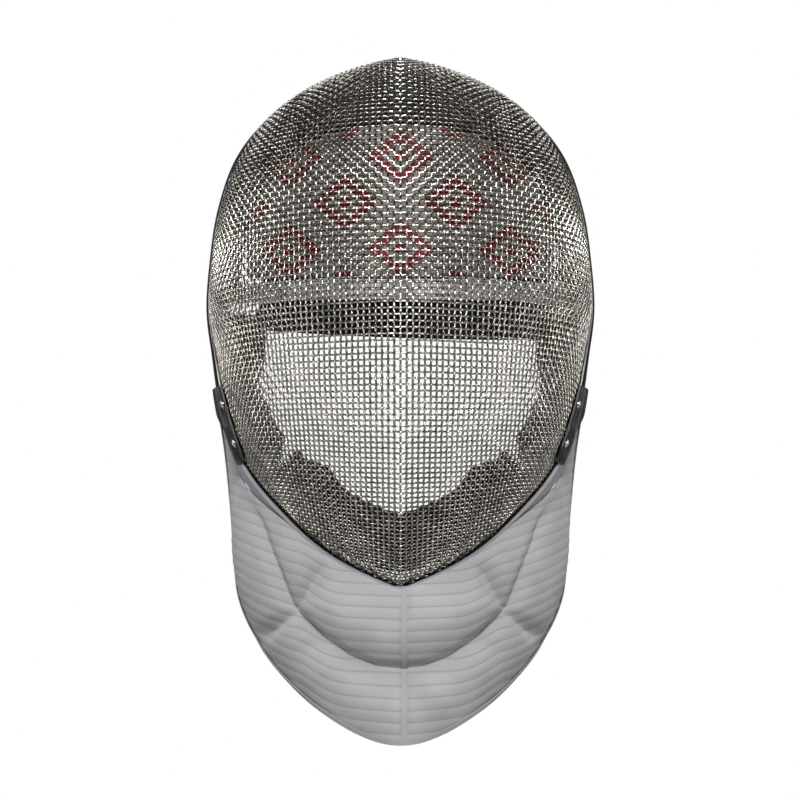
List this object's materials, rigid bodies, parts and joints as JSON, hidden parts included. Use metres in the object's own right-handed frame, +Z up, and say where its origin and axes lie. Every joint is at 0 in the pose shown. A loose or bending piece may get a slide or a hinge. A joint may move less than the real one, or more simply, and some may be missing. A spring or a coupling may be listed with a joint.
{
  "type": "fencing mask",
  "caption": "Head guard for fencing: a domed woven-wire face cage with a creased front, padding inside, a quilted throat bib and an elastic strap behind the head.",
  "frame": {"origin": "the crown of the wearer's head, where it meets the inside of the crown pad", "axes": "+X to the right of someone who looks at the front, +Y to the back of the head, +Z up; the cage faces -Y"},
  "size_m": [0.2096, 0.252, 0.3598],
  "materials": {
    "woven_steel": "woven round wire, satin, slightly warm",
    "rim_steel": "formed strip, satin",
    "black_trim": "semi-gloss black",
    "bib_cloth": "quilted plain-weave cloth, matt",
    "binding_cloth": "woven tape, matt",
    "grey_pad": "brushed cloth over foam, matt",
    "light_band": "smooth binding cloth, matt",
    "dark_pad": "dark lining cloth over foam, matt",
    "black_elastic": "ribbed woven elastic, matt",
    "rivet_steel": "domed heads, bright"
  },
  "bodies": {
    "root": {"cage_mesh": "woven_steel", "rim_channel": "rim_steel", "edge_trim": "black_trim", "bib_binding": "binding_cloth", "side_tab_left": "black_trim", "side_tab_right": "black_trim", "tab_rivet_left_upper": "rivet_steel", "tab_rivet_left_lower": "rivet_steel", "tab_rivet_right_upper": "rivet_steel", "tab_rivet_right_lower": "rivet_steel", "bib": "bib_cloth", "bib_edge_tape": "binding_cloth", "bib_centre_tape": "bib_cloth", "side_pad_left": "dark_pad", "side_pad_right": "dark_pad", "chin_pad": "dark_pad", "crown_pad": "dark_pad", "forehead_pad": "grey_pad", "forehead_binding": "light_band", "back_strap": "black_elastic", "strap_anchor_left": "black_trim", "strap_anchor_right": "black_trim", "back_tongue": "dark_pad"}
  },
  "joints": []
}
